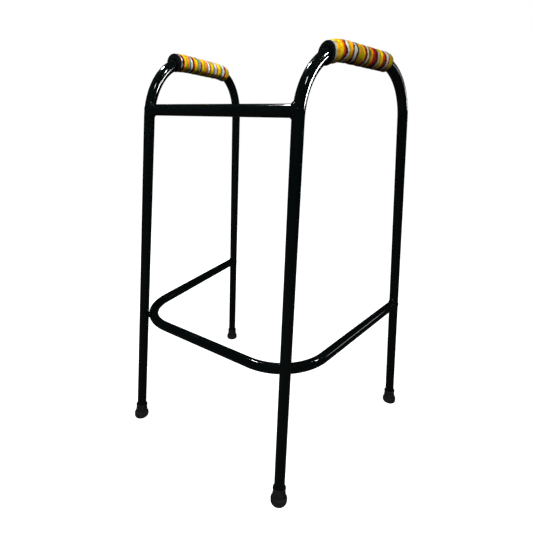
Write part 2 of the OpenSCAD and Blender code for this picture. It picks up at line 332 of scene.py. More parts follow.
def brace_side_line():
    """A point and a direction of the brace's left side run, towards the rear leg.

    The run is the tangent from the rear leg to the corner's circle, whose centre lies where the
    corner just clears the front leg by the weld gap.
    """
    s = sizes("walker_frame")
    front_y = brace_low.y + s.tube_d / 2
    front_z = brace_low.z + s.tube_d / 2
    leg = leg_point("front", front_z)
    end = leg_point("rear", s.brace_rear_height)
    forward = leg[1] - front_y
    clear = s.brace_bend_r + s.tube_d + s.weld_gap
    run = leg[0] - math.sqrt(clear**2 - (s.brace_bend_r - forward) ** 2)
    depth = math.hypot(end[1] - front_y, end[2] - front_z)
    across, back = end[0] - run, depth - s.brace_bend_r
    turn = math.atan2(back, across) + math.asin(s.brace_bend_r / math.hypot(across, back))
    slope = math.atan2(end[2] - front_z, end[1] - front_y)
    direction = np.array([
        math.cos(turn), math.sin(turn) * math.cos(slope), math.sin(turn) * math.sin(slope)
    ])
    return end, direction


def handle_frames(along):
    """Centre, upward and outward directions at distances along the handle from its front end.

    Below nought the line bends down round the front bend, and past the straight round the rear.
    """
    s = sizes("walker_frame")
    top, front, straight = handle_layout()
    before = np.minimum(along, 0) / s.front_bend_r
    after = np.maximum(along - straight, 0) / s.rear_bend_r
    turn = before + after
    u = front[0] + np.clip(along, 0, straight)
    u = u + s.front_bend_r * np.sin(before) + s.rear_bend_r * np.sin(after)
    v = top - s.front_bend_r * (1 - np.cos(before)) - s.rear_bend_r * (1 - np.cos(after))
    flat = np.stack([u, v, np.zeros_like(u)], axis=-1)
    rise = np.stack([np.sin(turn), np.cos(turn), np.zeros_like(u)], axis=-1)
    _, back, up, out = side_axes()
    return side_to_space(flat), rise[..., :1] * back + rise[..., 1:2] * up, out


def round_handle(along, radius, angle):
    """Surface round the handle: the point at that radius and angle, nought being on top."""
    centre, rise, out = handle_frames(along)
    return centre + radius[..., None] * (
        np.cos(angle)[..., None] * rise + np.sin(angle)[..., None] * out
    )


# Meshes from grids of points

def grid_faces(rows, columns, closed_rows):
    """Four corners of each face of a grid whose columns close on themselves."""
    i = np.arange(rows if closed_rows else rows - 1)[:, None]
    j = np.arange(columns)[None, :]
    nearer, further = i * columns, ((i + 1) % rows) * columns
    beside = (j + 1) % columns
    return np.stack([nearer + j, nearer + beside, further + beside, further + j], axis=-1)


def outward(points, faces):
    """The faces, turned over if the volume that they enclose comes out negative."""
    a, b, c, d = (points[faces[:, k]] for k in range(4))
    volume = (np.cross(b - a, c - a) * a).sum() + (np.cross(c - a, d - a) * a).sum()
    return faces if volume > 0 else faces[:, ::-1]


def solid_piece(name, points, material, closed_rows=True, mirrored=False, ways=None):
    """Makes a closed solid from a grid of points, and puts it on the frame.

    Rows run along the piece and columns round it. Rows that aren't closed on themselves end in
    a pole at each end. ways, if given, are the map's two numbers at each row and column.
    """
    rows, columns = points.shape[:2]
    flat = points.reshape(-1, 3) * ([-1, 1, 1] if mirrored else [1, 1, 1])
    raw = grid_faces(rows, columns, closed_rows).reshape(-1, 4)
    faces = outward(flat, raw)
    mesh = bpy.data.meshes.new(name)
    mesh.vertices.add(len(flat))
    mesh.vertices.foreach_set("co", flat.astype(np.float32).ravel())
    mesh.loops.add(faces.size)
    mesh.loops.foreach_set("vertex_index", faces.astype(np.int32).ravel())
    mesh.polygons.add(len(faces))
    mesh.polygons.foreach_set("loop_start", np.arange(0, faces.size, 4, dtype=np.int32))
    mesh.polygons.foreach_set("use_smooth", np.ones(len(faces), dtype=bool))
    mesh.update(calc_edges=True)
    if ways is not None:
        row, column = faces // columns, faces % columns
        last = (column == 0) & (column.max(axis=1, keepdims=True) == columns - 1)
        around = np.where(last, 1.0, column / columns)
        layer = mesh.uv_layers.new(name="cloth")
        pairs = np.stack([around, ways[row]], axis=-1)
        layer.data.foreach_set("uv", pairs.astype(np.float32).ravel())
    if not closed_rows:
        merge_poles(mesh)
    mesh.validate()
    mesh.materials.append(material)
    piece = bpy.data.objects.new(name, mesh)
    bpy.context.scene.collection.objects.link(piece)
    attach(piece, "root")
    return piece


def merge_poles(mesh):
    """Joins the points that lie together at the poles."""
    work = bmesh.new()
    work.from_mesh(mesh)
    bmesh.ops.remove_doubles(work, verts=work.verts, dist=1e-7)
    work.to_mesh(mesh)
    work.free()


def arc(centre, radius, start, stop, steps):
    """Points of an arc, from one angle to another in degrees."""
    angle = np.radians(np.linspace(start, stop, steps))
    return np.stack([
        centre[0] + radius * np.cos(angle), centre[1] + radius * np.sin(angle)
    ], axis=1)


def stretch(start, stop, steps):
    """Evenly spaced points of a straight stretch, without its last one."""
    share = np.linspace(0, 1, steps, endpoint=False)[:, None]
    return np.array(start) * (1 - share) + np.array(stop) * share


def smooth(share):
    """Nought below nought, one above one, and a smooth S between them."""
    share = np.clip(share, 0, 1)
    return share * share * (3 - 2 * share)


# Shader node groups

class Tree:
    """Short words for adding nodes to one node tree."""

    def __init__(self, tree):
        self.tree = tree

    def node(self, kind, **settings):
        made = self.tree.nodes.new(kind)
        for key, value in settings.items():
            setattr(made, key, value)
        return made

    def feed(self, value, socket):
        """Links an output to a socket, or sets the socket's own value."""
        if isinstance(value, bpy.types.NodeSocket):
            self.tree.links.new(value, socket)
        else:
            socket.default_value = value

    def maths(self, operation, *values):
        made = self.node("ShaderNodeMath", operation=operation)
        for value, socket in zip(values, made.inputs):
            self.feed(value, socket)
        return made.outputs[0]

    def blend(self, share, one, other, mode="MIX"):
        made = self.node("ShaderNodeMix", data_type="RGBA", blend_type=mode)
        self.feed(share, made.inputs[0])
        self.feed(one, made.inputs[6])
        self.feed(other, made.inputs[7])
        return made.outputs[2]

    def noise(self, place, scale, detail=2.0, distortion=0.0):
        made = self.node("ShaderNodeTexNoise")
        self.feed(place, made.inputs["Vector"])
        self.feed(scale, made.inputs["Scale"])
        made.inputs["Detail"].default_value = detail
        made.inputs["Distortion"].default_value = distortion
        return made.outputs[0]

    def limits(self, value, low, high, to_low=0.0, to_high=1.0):
        """Maps a value from one span to another and holds it there."""
        made = self.node("ShaderNodeMapRange", interpolation_type="SMOOTHSTEP")
        for number, socket in zip((value, low, high, to_low, to_high), made.inputs):
            self.feed(number, socket)
        return made.outputs[0]


def node_group(name, inputs, outputs, build):
    """A shader node group with named sockets. build(tree, inputs) gives its outputs by name."""
    if name in bpy.data.node_groups:
        return bpy.data.node_groups[name]
    group = bpy.data.node_groups.new(name, "ShaderNodeTree")
    for label, default in inputs.items():
        vector = default is None
        kind = "NodeSocketVector" if vector else "NodeSocketFloat"
        socket = group.interface.new_socket(label, in_out="INPUT", socket_type=kind)
        if not vector:
            socket.default_value = default
    for label, kind in outputs.items():
        group.interface.new_socket(label, in_out="OUTPUT", socket_type=kind)
    tree = Tree(group)
    entry, leave = tree.node("NodeGroupInput"), tree.node("NodeGroupOutput")
    made = build(tree, entry.outputs)
    for label, value in made.items():
        tree.feed(value, leave.inputs[label])
    return group


def place_group(tree, group, **values):
    """Places a group in a material, with its inputs set or linked by name."""
    made = tree.node("ShaderNodeGroup", node_tree=group)
    for label, value in values.items():
        tree.feed(value, made.inputs[label.replace("_", " ").capitalize()])
    return made.outputs


def paint_skin():
    """Sprayed paint: slow waves of orange peel and a few dust nibs, as height and a gloss mask."""
    def build(tree, given):
        waves = tree.noise(given["Place"], given["Wave scale"], 1.0)
        peel = tree.noise(given["Place"], tree.maths("MULTIPLY", given["Wave scale"], 7.0), 2.0)
        nibs = tree.limits(tree.noise(given["Place"], given["Nib scale"], 0.0), 0.80, 0.86)
        height = tree.maths("ADD", waves, tree.maths("MULTIPLY", peel, 0.12))
        height = tree.maths("ADD", height, tree.maths("MULTIPLY", nibs, 0.5))
        gloss = tree.noise(given["Place"], 14.0, 3.0)
        return {"Height": height, "Gloss": gloss, "Nibs": nibs}

    return node_group(
        "Paint skin", {"Place": None, "Wave scale": 55.0, "Nib scale": 330.0},
        {"Height": "NodeSocketFloat", "Gloss": "NodeSocketFloat", "Nibs": "NodeSocketFloat"},
        build,
    )


def rubber_skin():
    """Moulded rubber: fine grain as height, and a cloudy mask for bloom and scuffs."""
    def build(tree, given):
        grain = tree.noise(given["Place"], given["Grain scale"], 3.0)
        cloud = tree.noise(given["Place"], given["Cloud scale"], 4.0, 0.6)
        return {"Height": grain, "Cloud": tree.limits(cloud, 0.42, 0.68)}

    return node_group(
        "Rubber skin", {"Place": None, "Grain scale": 2600.0, "Cloud scale": 90.0},
        {"Height": "NodeSocketFloat", "Cloud": "NodeSocketFloat"}, build,
    )


def dust_fall():
    """Dust that lies thickest near a low height: a mask from height above the floor and noise."""
    def build(tree, given):
        parts = tree.node("ShaderNodeSeparateXYZ")
        tree.feed(given["Place"], parts.inputs[0])
        low = tree.limits(parts.outputs[2], 0.0, given["Reach"], 1.0, 0.0)
        speckle = tree.limits(tree.noise(given["Place"], 240.0, 5.0), 0.44, 0.66)
        return {"Mask": tree.maths("MULTIPLY", low, speckle)}

    return node_group(
        "Dust fall", {"Place": None, "Reach": 0.02}, {"Mask": "NodeSocketFloat"}, build
    )


def plain_weave():
    """Plain weave from two numbers that count threads: over-and-under height and thread shade."""
    def build(tree, given):
        across = tree.maths("SINE", tree.maths("MULTIPLY", given["Around"], TURN / 2))
        along = tree.maths("SINE", tree.maths("MULTIPLY", given["Along"], TURN / 2))
        over = tree.maths("MULTIPLY", across, along)
        thread = tree.maths("ABSOLUTE", over)
        uneven = tree.noise(given["Place"], 900.0, 2.0)
        return {
            "Height": tree.maths("ADD", tree.maths("MULTIPLY", thread, 0.7), uneven),
            "Shade": tree.maths("ADD", tree.maths("MULTIPLY", thread, 0.5), 0.5),
        }

    return node_group(
        "Plain weave", {"Place": None, "Around": 0.0, "Along": 0.0},
        {"Height": "NodeSocketFloat", "Shade": "NodeSocketFloat"}, build,
    )


# Materials

def new_material(name):
    """An empty material with a Principled shader, and the words to build it with."""
    material = bpy.data.materials.new(name)
    material.use_nodes = True
    tree = Tree(material.node_tree)
    shader = material.node_tree.nodes["Principled BSDF"]
    place = tree.node("ShaderNodeTexCoord").outputs["Object"]
    return material, tree, shader, place


def raise_skin(tree, shader, height, depth, strength=1.0):
    """Feeds a height to the shader as a bump of that depth in metres."""
    bump = tree.node("ShaderNodeBump")
    bump.inputs["Strength"].default_value = strength
    bump.inputs["Distance"].default_value = depth
    tree.feed(height, bump.inputs["Height"])
    tree.feed(bump.outputs[0], shader.inputs["Normal"])


def with_alpha(colour):
    """The colour as an opaque one."""
    return (*colour, 1.0)


def gloss_paint(name, wave_depth):
    """Gloss black paint over tube or weld, under a thin clear skin."""
    material, tree, shader, place = new_material(name)
    skin = place_group(tree, paint_skin(), place=place)
    colour = with_alpha(sizes("walker_finish").paint)
    lighter = tuple(min(1, c * 1.9) for c in colour[:3]) + (1.0,)
    tree.feed(tree.blend(skin["Gloss"], colour, lighter), shader.inputs["Base Color"])
    rough = tree.limits(skin["Gloss"], 0.3, 0.7, 0.07, 0.14)
    rough = tree.maths("ADD", rough, tree.maths("MULTIPLY", skin["Nibs"], 0.25))
    tree.feed(rough, shader.inputs["Roughness"])
    shader.inputs["Coat Weight"].default_value = 0.7
    shader.inputs["Coat Roughness"].default_value = 0.05
    raise_skin(tree, shader, skin["Height"], wave_depth)
    return material


def weld_paint():
    """The same paint over the beads, thicker and less even, made once for all of them."""
    name = "gloss_black_on_weld"
    return bpy.data.materials.get(name) or gloss_paint(name, 0.09 * MM)


def moulded_rubber():
    """Matt black rubber with fine grain, cloudy bloom and dust near the floor."""
    material, tree, shader, place = new_material("moulded_rubber")
    finish = sizes("walker_finish")
    skin = place_group(tree, rubber_skin(), place=place)
    dust = place_group(tree, dust_fall(), place=place, reach=0.016)
    rubber = with_alpha(finish.rubber)
    bloom = tuple(c * 1.7 for c in rubber[:3]) + (1.0,)
    clean = tree.blend(skin["Cloud"], rubber, bloom)
    share = tree.maths("MULTIPLY", dust["Mask"], 0.16)
    tree.feed(tree.blend(share, clean, with_alpha(finish.dust)), shader.inputs["Base Color"])
    tree.feed(tree.limits(skin["Cloud"], 0, 1, 0.5, 0.68), shader.inputs["Roughness"])
    shader.inputs["Specular IOR Level"].default_value = 0.4
    raise_skin(tree, shader, skin["Height"], 0.06 * MM)
    return material


def cut_foam():
    """Black foam rubber: round cells of two sizes as pits, under a dull surface, with painted shade
    in the pits.
    """
    material, tree, shader, place = new_material("cut_foam")
    cells = tree.node("ShaderNodeTexVoronoi", feature="F1")
    tree.feed(place, cells.inputs["Vector"])
    cells.inputs["Scale"].default_value = 1500.0
    skin = place_group(tree, rubber_skin(), place=place, grain_scale=5200.0, cloud_scale=60.0)
    foam = with_alpha(sizes("walker_finish").foam)
    rim_light_and_wear = tuple(c * 2 for c in foam[:3]) + (1.0,)
    edge = tree.limits(cells.outputs["Distance"], 0.1, 0.7)
    # Painted shade: each cell's pit is painted darker and its raised rim lighter, mixed with a
    # random cloud of lighter tone.
    shade = tree.maths("MULTIPLY", tree.maths("ADD", edge, skin["Cloud"]), 0.5)
    tree.feed(tree.blend(shade, foam, rim_light_and_wear), shader.inputs["Base Color"])
    tree.feed(tree.limits(edge, 0, 1, 0.82, 0.95), shader.inputs["Roughness"])
    shader.inputs["Specular IOR Level"].default_value = 0.2
    height = tree.maths("ADD", edge, tree.maths("MULTIPLY", skin["Height"], 0.4))
    raise_skin(tree, shader, height, 0.14 * MM)
    return material


def plated_steel():
    """Zinc-plated steel turned on a lathe: fine rings of scratches and a dull cloud."""
    material, tree, shader, place = new_material("plated_steel")
    rings = tree.noise(place, 4200.0, 2.0, 2.0)
    cloud = tree.noise(place, 160.0, 3.0)
    steel = with_alpha(sizes("walker_finish").steel)
    dull = tuple(c * 0.6 for c in steel[:3]) + (1.0,)
    tree.feed(tree.blend(cloud, steel, dull), shader.inputs["Base Color"])
    tree.feed(tree.limits(cloud, 0.3, 0.7, 0.25, 0.45), shader.inputs["Roughness"])
    shader.inputs["Metallic"].default_value = 1.0
    raise_skin(tree, shader, rings, 0.02 * MM)
    return material


def stripe_ramp(tree, place, stripes, total):
    """Colour of a run of stripes at a place from nought to one, in bands with hard edges."""
    ramp = tree.node("ShaderNodeValToRGB")
    ramp.color_ramp.interpolation = "CONSTANT"
    palette = sizes("walker_cloth")
    at = 0.0
    for number, (colour, width) in enumerate(stripes):
        if number < 2:
            stop = ramp.color_ramp.elements[number]
            stop.position = at / total
        else:
            stop = ramp.color_ramp.elements.new(at / total)
        stop.color = with_alpha(getattr(palette, colour))
        at += width
    tree.feed(place, ramp.inputs[0])
    return ramp.outputs[0]


def striped_cloth(side, waver):
    """Woven cloth with stripes round the grip.

    The place along the grip, shifted by a slow waver, a finer one and a thread's jitter, picks
    the stripe from two ramps, one for each half. The weave darkens the gaps between threads.
    """
    material, tree, shader, place = new_material(f"{side}_stripes")
    total = sum(width for _, width in STRIPES[side])
    middle = len(STRIPES[side]) // 2
    halves = STRIPES[side][:middle], STRIPES[side][middle:]
    first = sum(width for _, width in halves[0])
    ways = tree.node("ShaderNodeSeparateXYZ")
    tree.feed(tree.node("ShaderNodeUVMap", uv_map="cloth").outputs[0], ways.inputs[0])
    around, along = ways.outputs[0], ways.outputs[1]
    slow = tree.maths("SUBTRACT", tree.noise(place, 75.0, 2.0), 0.5)
    jitter = tree.maths("SUBTRACT", tree.noise(place, 700.0, 1.0), 0.5)
    fine = tree.maths("SUBTRACT", tree.noise(place, 210.0, 2.0), 0.5)
    shift = tree.maths("MULTIPLY", slow, waver / total)
    shift = tree.maths("ADD", shift, tree.maths("MULTIPLY", fine, 4.5 / total))
    shift = tree.maths("ADD", shift, tree.maths("MULTIPLY", jitter, 1.1 / total))
    there = tree.maths("ADD", along, shift)
    cut = first / total
    near = stripe_ramp(tree, tree.maths("DIVIDE", there, cut), halves[0], first)
    past = tree.maths("DIVIDE", tree.maths("SUBTRACT", there, cut), 1 - cut)
    far = stripe_ramp(tree, past, halves[1], total - first)
    cloth = tree.blend(tree.maths("GREATER_THAN", there, cut), near, far)
    weave = place_group(
        tree, plain_weave(), place=place,
        around=tree.maths("MULTIPLY", around, 220.0), along=tree.maths("MULTIPLY", along, 430.0),
    )
    stain = tree.limits(tree.noise(place, 160.0, 4.0, 0.8), 0.52, 0.70)
    cloth = tree.blend(tree.maths("MULTIPLY", stain, 0.6), cloth, (0.09, 0.04, 0.004, 1.0))
    shade = tree.limits(weave["Shade"], 0.5, 1.0, 0.7, 1.08)
    cloth = tree.blend(1.0, cloth, combined(tree, shade), mode="MULTIPLY")
    tree.feed(cloth, shader.inputs["Base Color"])
    tree.feed(tree.limits(weave["Shade"], 0.5, 1.0, 0.9, 0.75), shader.inputs["Roughness"])
    shader.inputs["Specular IOR Level"].default_value = 0.06
    raise_skin(tree, shader, weave["Height"], 0.12 * MM)
    return material


def combined(tree, value):
    """A grey colour from one value."""
    made = tree.node("ShaderNodeCombineColor")
    for socket in made.inputs:
        tree.feed(value, socket)
    return made.outputs[0]


def pale_floor():
    """Floor that shows almost white, darkened a little where the feet shade it."""
    material, tree, shader, place = new_material("pale_floor")
    colour = with_alpha(sizes("walker_finish").floor)
    cloud = tree.limits(tree.noise(place, 3.0, 2.0), 0.3, 0.7, 0.98, 1.0)
    toned = tree.blend(1.0, colour, combined(tree, cloud), mode="MULTIPLY")
    tree.feed(toned, shader.inputs["Base Color"])
    shader.inputs["Roughness"].default_value = 0.9
    shader.inputs["Specular IOR Level"].default_value = 0.0
    glow = tree.node("ShaderNodeEmission")
    glow.inputs["Strength"].default_value = 0.8
    lit = tree.node("ShaderNodeAddShader")
    tree.feed(shader.outputs[0], lit.inputs[0])
    tree.feed(glow.outputs[0], lit.inputs[1])
    dim = tree.node("ShaderNodeBsdfDiffuse")
    dim.inputs[0].default_value = (0.02, 0.02, 0.02, 1.0)
    chosen = tree.node("ShaderNodeMixShader")
    tree.feed(tree.node("ShaderNodeLightPath").outputs["Is Camera Ray"], chosen.inputs[0])
    tree.feed(dim.outputs[0], chosen.inputs[1])
    tree.feed(lit.outputs[0], chosen.inputs[2])
    out = material.node_tree.nodes["Material Output"]
    tree.feed(chosen.outputs[0], out.inputs[0])
    return material


# Points that the lights face
MIDDLE = (0, 0, 0.75)
BETWEEN_BENDS = (0.0, -0.17, 0.86)
LEFT_BEND = (0.2, -0.17, 0.86)
RIGHT_BEND = (-0.2, -0.17, 0.86)
RIGHT_GRIP = (-0.21, 0.02, 0.87)

# Panels by name, heading in degrees from the rear towards the frame's left side, height in
# degrees, size, power, spread of the beam in degrees, and the point that they face
PANELS = (
    ("window", 48, 9, (0.42, 0.3), 0.22, 14, LEFT_BEND),
    ("window_far", 36, 4, (0.36, 0.14), 0.035, 14, RIGHT_BEND),
    ("doorway", 48, 10, (0.7, 0.16), 1.6, 180, MIDDLE),
    ("skylight", 56, 40, (0.12, 0.3), 1.3, 60, BETWEEN_BENDS),
    ("lamp_right", -78, 62, (0.24, 0.3), 3, 60, BETWEEN_BENDS),
    ("lamp_front", 128, 50, (0.12, 0.4), 5, 180, MIDDLE),
)
PANEL_DISTANCE = 2.5

# Radii of the floor's rings
FLOOR_RINGS = (0.0, 0.5, 2.0, 12.0)

# Fills by name, place, size, power, spread of the beam in degrees, and the point that they face
FILLS = (
    ("fill_front", (0.9, -1.9, 2.2), (1.6, 1.2), 78, 180, MIDDLE),
    ("fill_right", (-2.0, -0.9, 1.5), (1.2, 1.6), 16, 180, MIDDLE),
    ("fill_grip", (0.9, -1.2, 1.9), (0.3, 0.3), 0.9, 24, RIGHT_GRIP),
)


# Operators, one for each piece or group of like pieces

def mirrored_pair(where, new, old, points, material, closed_rows=True):
    """A left piece and its mirror image on the right, each in place of its CAD node."""
    for side, sign in SIDES.items():
        piece = solid_piece(f"{where}_{side}_{new}", points, material, closed_rows,
                            mirrored=sign < 0)
        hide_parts(f"{where}_{side}_{old}")


def finish_nodes(names, material):
    """Gives CAD nodes a material in every slot."""
    for name in names:
        node = frame["nodes"][name]
        if not node.material_slots:
            node.data.materials.append(material)
        for slot in node.material_slots:
            slot.material = material


class WALKER_OT_paint_tubes(bpy.types.Operator):
    """Paint the side tubes, the cross bar and the brace gloss black"""

    bl_idname = "walker.paint_tubes"
    bl_label = "Paint Tubes"

    def execute(self, context):
        names = ("left_side_tube", "right_side_tube", "upper_cross_bar", "lower_brace")
        finish_nodes(names, gloss_paint("gloss_black", 0.05 * MM))
        return {"FINISHED"}


def seam_of(axis, leg_gap, tube_r):
    """Where a round bar's surface meets a leg: a closed seam, and the bar's and seam's normals.

    Each line along the bar's surface is halved again and again between a point outside the leg
    and the leg's own middle, until the leg's centre is one tube radius away.
    """
    end, direction = axis
    across = np.cross(direction, [0, 0, 1])
    across = across / np.linalg.norm(across)
    rise = np.cross(across, direction)
    angle = np.linspace(0, TURN, 160, endpoint=False)
    normal = np.cos(angle)[:, None] * rise + np.sin(angle)[:, None] * across
    outer, inner = np.full(len(angle), -3 * tube_r), np.zeros(len(angle))
    for _ in range(40):
        middle = (outer + inner) / 2
        points = end + middle[:, None] * direction + tube_r * normal
        inside = leg_gap(points) < tube_r
        inner = np.where(inside, middle, inner)
        outer = np.where(inside, outer, middle)
    return end + inner[:, None] * direction + tube_r * normal, normal


def gradient(gap, points):
    """Direction in which the distance grows fastest, from small steps along each axis."""
    step = 1e-5
    slopes = [gap(points + step * unit) - gap(points - step * unit) for unit in np.eye(3)]
    slopes = np.stack(slopes, axis=-1)
    return slopes / np.linalg.norm(slopes, axis=-1, keepdims=True)


def bead(seam, bar_normal, leg_normal):
    """A rippled bead: an oval carried along the seam, with arched ripples across it."""
    s = sizes("walker_welds")
    out = bar_normal + leg_normal
    out = out / np.linalg.norm(out, axis=1, keepdims=True)
    ahead = np.roll(seam, -1, axis=0) - np.roll(seam, 1, axis=0)
    ahead = ahead / np.linalg.norm(ahead, axis=1, keepdims=True)
    aside = np.cross(ahead, out)
    steps = np.linalg.norm(np.roll(seam, -1, axis=0) - seam, axis=1)
    travelled = np.concatenate([[0], np.cumsum(steps)[:-1]])
    ripples = round(steps.sum() / s.ripple_pitch)
    phase = travelled / steps.sum() * ripples * TURN
    crotch = 1 - (bar_normal * leg_normal).sum(axis=1)
    angle = np.linspace(0, TURN, 28, endpoint=False)[None, :]
    arched = phase[:, None] + 1.3 * np.cos(angle) ** 2
    wave = s.ripple * (0.5 + 0.5 * np.sin(arched)) * np.maximum(np.sin(angle), 0)
    wander = 1 + 0.07 * np.sin(3 * phase / ripples + 1)[:, None]
    width = s.half_width * wander * np.cos(angle)
    height = (s.height * (0.5 + 0.5 * crotch[:, None]) + wave) * np.sin(angle)
    return seam[:, None] + width[..., None] * aside[:, None] + height[..., None] * out[:, None]


class WALKER_OT_lay_end_beads(bpy.types.Operator):
    """Lay a rippled bead round each butted end of the cross bar and of the brace"""

    bl_idname = "walker.lay_end_beads"
    bl_label = "Lay End Beads"

    def execute(self, context):
        tube_r = sizes("walker_frame").tube_d / 2
        rear_leg, brace = leg_line("rear"), brace_side_line()
        middle = (bar_low + bar_high) / 2
        bar = np.array([bar_high.x, middle.y, middle.z])

        def rear_gap(points):
            return line_gap(points, rear_leg)

        bar = (front_leg_centre(bar), np.array([1.0, 0.0, 0.0]))
        paint = weld_paint()
        for place, axis, gap in (("upper", bar, front_leg_gap), ("lower_rear", brace, rear_gap)):
            seam, bar_normal = seam_of(axis, gap, tube_r)
            points = bead(seam, bar_normal, gradient(gap, seam))
            mirrored_pair(place, "bead", "weld", points, paint)
        return {"FINISHED"}


def front_leg_centre(level):
    """Point of the front leg's centreline where the cross bar's axis meets it."""
    reach = np.linspace(-0.05, 0.05, 4001)[:, None] * [1, 0, 0]
    line = level + reach
    return line[np.argmin(front_leg_gap(line))]


class WALKER_OT_lay_corner_welds(bpy.types.Operator):
    """Fill the gap where the brace's corner passes the inner side of each front leg"""

    bl_idname = "walker.lay_corner_welds"
    bl_label = "Lay Corner Welds"

    def execute(self, context):
        s, welds = sizes("walker_frame"), sizes("walker_welds")
        tube_r = s.tube_d / 2
        low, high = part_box("lower_front_left_weld")
        contact = np.array((low + high) / 2)
        leg, direction = leg_line("front")
        foot = leg + direction * ((contact - leg) @ direction)
        inward = (contact - foot) / np.linalg.norm(contact - foot)
        contact = foot + inward * (tube_r + s.weld_gap / 2)
        aside = np.cross(direction, inward)
        reach = math.sqrt(2 * tube_r * (welds.pad_depth - s.weld_gap))
        angle = np.linspace(0, TURN, 96, endpoint=False)[:, None]
        across = np.linspace(-1, 1, 17)[None, :]
        ripples = 14
        wave = 0.5 + 0.5 * np.cos(ripples * angle + 1.4 * across**2)
        rim = reach * (1 - 0.13 * (1 - across**2)) + welds.ripple * wave * (1 - across**2)
        depth = across * (welds.pad_depth / 2 + 0.4 * MM)
        ring = rim[..., None] * (np.cos(angle)[..., None] * direction
                                 + np.sin(angle)[..., None] * aside)
        shell = contact + ring + depth[..., None] * inward
        caps = [contact + depth[0, k] * inward + np.zeros_like(shell[:, :1]) for k in (0, -1)]
        points = np.concatenate([caps[0], shell, caps[1]], axis=1).transpose(1, 0, 2)
        mirrored_pair("lower_front", "pad", "weld", points, weld_paint(),
                      closed_rows=False)
        return {"FINISHED"}


def foot_outline():
    """Half outline of a foot: out along the socket and rim, down the sleeve and its shoulder,
    round the edge and in under the sole."""
    s = sizes("walker_feet")
    bore_r = sizes("walker_grips").bore_r
    lip, small = 0.9 * MM, 0.35 * MM
    rim_foot = s.height - s.rim_height
    sleeve_foot = s.sleeve_r + s.sleeve_flare
    share = np.linspace(0, 1, 30)[:, None]
    shoulder = np.hstack([
        sleeve_foot + (s.base_r - sleeve_foot) * smooth(share),
        s.shoulder_top + (s.shoulder_foot - s.shoulder_top) * share**0.8,
    ])
    wall = np.hstack([
        s.base_r - 0.5 * MM * np.exp(-(((share - 0.62) / 0.14) ** 2)),
        s.shoulder_foot + (s.edge_r + 0.4 * MM - s.shoulder_foot) * share,
    ])
    tread_r = np.linspace(s.base_r - s.edge_r, 0, 90)[:, None]
    rings = sum(
        np.exp(-(((tread_r - centre * s.base_r) / (s.tread_width / 2)) ** 4))
        for centre in (0.32, 0.6)
    )
    return np.vstack([
        [[0, s.sole]],
        stretch((bore_r * 0.2, s.sole), (bore_r, s.sole), 4),
        stretch((bore_r, s.sole), (bore_r, s.height - lip), 12),
        arc((bore_r + lip, s.height - lip), lip, 180, 90, 7),
        arc((s.rim_r - lip, s.height - lip), lip, 90, 0, 7),
        stretch((s.rim_r, s.height - 1.3 * lip), (s.rim_r, rim_foot + small), 6),
        arc((s.rim_r - small, rim_foot + small), small, 0, -90, 5),
        arc((s.sleeve_r + small * 0.6, rim_foot - small), small * 0.6, 90, 180, 5),
        stretch((s.sleeve_r, rim_foot - 2 * small), (sleeve_foot, s.shoulder_top), 12),
        shoulder,
        wall[1:],
        arc((s.base_r - s.edge_r, s.edge_r), s.edge_r, 0, -90, 16),
        np.hstack([tread_r[1:], s.tread_depth * rings[1:]]),
    ])


def foot_surface(which):
    """A foot turned round its leg: the outline's rings lie flat on the floor and tilt with the
    leg above it, and low ribs stand on the base and the sleeve."""
    s = sizes("walker_feet")
    low, leg = leg_line(which)
    outline = foot_outline()
    radius, level = outline[:, :1], outline[:, 1:]
    angle = np.linspace(0, TURN, 168, endpoint=False)[None, :]
    ribs_foot, ribs_top, foot_fade, top_fade = 4 * MM, 30 * MM, 2 * MM, 8 * MM
    on_ribs = smooth((level - ribs_foot) / foot_fade) * smooth((ribs_top - level) / top_fade)
    outside = radius > (s.sleeve_r - 0.3 * MM)
    ribs = s.rib_height * (0.5 + 0.5 * np.cos(s.ribs * angle)) ** 3
    radius = radius + ribs * on_ribs * outside
    upright_to = 14 * MM
    tilt = math.acos(leg[2]) * smooth(level / upright_to)
    sideways = np.array([leg[0], leg[1], 0]) / math.hypot(leg[0], leg[1])
    beside = np.cross([0, 0, 1], sideways)
    lean = (np.cos(tilt)[..., None] * sideways) - np.sin(tilt)[..., None] * [0, 0, 1]
    centre = low + level[..., None] * leg / leg[2] * np.ones_like(angle)[..., None]
    return centre + radius[..., None] * (
        np.cos(angle)[..., None] * lean + np.sin(angle)[..., None] * beside
    )


class WALKER_OT_mould_feet(bpy.types.Operator):
    """Mould the four rubber feet, with rim, flared base, ribs and tread"""

    bl_idname = "walker.mould_feet"
    bl_label = "Mould Feet"

    def execute(self, context):
        rubber = moulded_rubber()
        for which in ("front", "rear"):
            mirrored_pair(which, "rubber", "foot", foot_surface(which), rubber,
                          closed_rows=False)
        return {"FINISHED"}


class WALKER_OT_plate_washers(bpy.types.Operator):
    """Give the washers inside the feet their plated steel"""

    bl_idname = "walker.plate_washers"
    bl_label = "Plate Washers"

    def execute(self, context):
        names = [f"{which}_{side}_washer" for which in ("front", "rear") for side in SIDES]
        finish_nodes(names, plated_steel())
        return {"FINISHED"}


def grip_ends(side):
    """Places along the handle of the foam's front end, the cloth's front edge and the rear end."""
    s = sizes("walker_grips")
    front = -getattr(s, f"{side}_reach")
    rear = handle_layout()[2] + s.on_rear_bend - s.stagger * SIDES[side]
    return front, front + getattr(s, f"{side}_bare"), rear


def straight_cut(along, radius, angle):
    """Where a tube that was cut straight comes to lie once it's pushed on to the front bend.

    Its outer side has further to go than its inner side, so its outer side ends sooner.
    """
    bend = sizes("walker_frame").front_bend_r
    return np.where(along < 0, along / (1 + radius * np.cos(angle) / bend), along)


